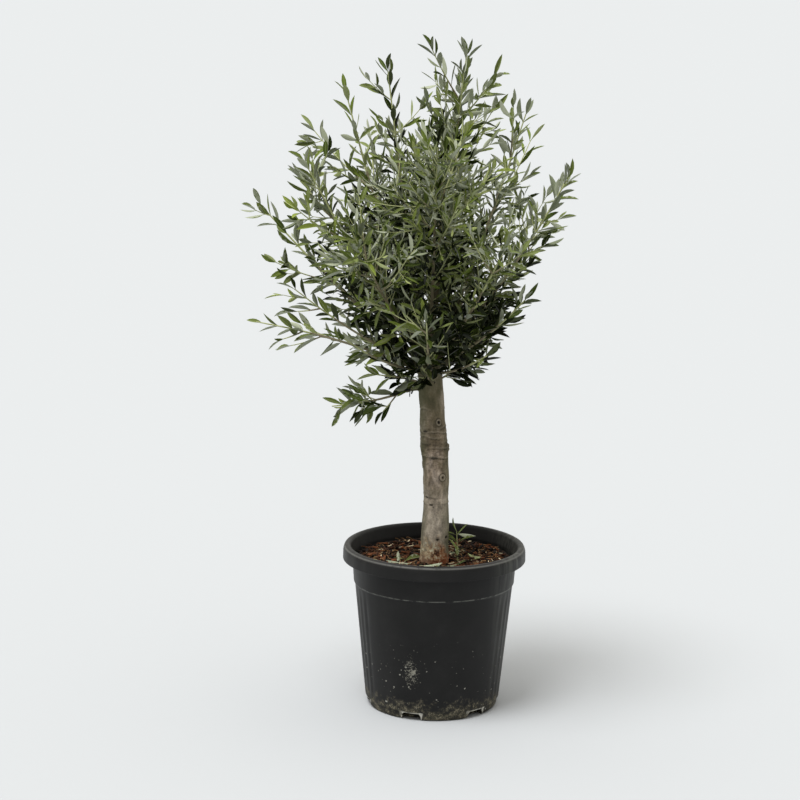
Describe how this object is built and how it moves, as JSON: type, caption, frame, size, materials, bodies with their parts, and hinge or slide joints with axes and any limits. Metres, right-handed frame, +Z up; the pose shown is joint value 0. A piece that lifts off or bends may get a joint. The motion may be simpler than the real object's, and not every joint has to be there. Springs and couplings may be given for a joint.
{
  "type": "potted olive tree",
  "caption": "Small standard olive tree: a short clear trunk with an open round crown of narrow grey-green leaves, growing in a round black plastic nursery pot.",
  "frame": {"origin": "centre of the pot's flat underside, on the surface it stands on", "axes": "+Z up along the trunk; -Y is the front; +X to the right as seen from the front"},
  "size_m": [0.6266, 0.5511, 1.2495],
  "materials": {
    "pot_plastic": "satin moulded, scuffed",
    "potting_mix": "loose bark mulch, matt",
    "bark": "smooth young olive bark, matt",
    "foliage": "leathery leaves, satin above and silvery below"
  },
  "bodies": {
    "root": {"basal_sprig": "foliage", "bough_back_left": "bark", "bough_back_left_low": "bark", "bough_back_low": "bark", "bough_back_right": "bark", "bough_back_right_low": "bark", "bough_back_top": "bark", "bough_front_left": "bark", "bough_front_left_low": "bark", "bough_front_low": "bark", "bough_front_right": "bark", "bough_front_right_low": "bark", "bough_front_top": "bark", "bough_left_droop": "bark", "bough_left_long": "bark", "bough_left_low": "bark", "bough_left_mid": "bark", "bough_left_shoulder": "bark", "bough_right_bottom": "bark", "bough_right_low": "bark", "bough_right_mid": "bark", "bough_right_out": "bark", "bough_right_top": "bark", "bough_top": "bark", "bough_top_left": "bark", "bough_upper_left": "bark", "foliage_back_left": "foliage", "foliage_back_left_low": "foliage", "foliage_back_low": "foliage", "foliage_back_right": "foliage", "foliage_back_right_low": "foliage", "foliage_back_top": "foliage", "foliage_front_left": "foliage", "foliage_front_left_low": "foliage", "foliage_front_low": "foliage", "foliage_front_right": "foliage", "foliage_front_right_low": "foliage", "foliage_front_top": "foliage", "foliage_left_droop": "foliage", "foliage_left_long": "foliage", "foliage_left_low": "foliage", "foliage_left_mid": "foliage", "foliage_left_shoulder": "foliage", "foliage_right_bottom": "foliage", "foliage_right_low": "foliage", "foliage_right_mid": "foliage", "foliage_right_out": "foliage", "foliage_right_top": "foliage", "foliage_top": "foliage", "foliage_top_left": "foliage", "foliage_tuft_back": "foliage", "foliage_tuft_front": "foliage", "foliage_tuft_left": "foliage", "foliage_tuft_right": "foliage", "foliage_upper_left": "foliage", "pot": "pot_plastic", "root_ball": "potting_mix", "trunk": "bark"}
  },
  "joints": []
}
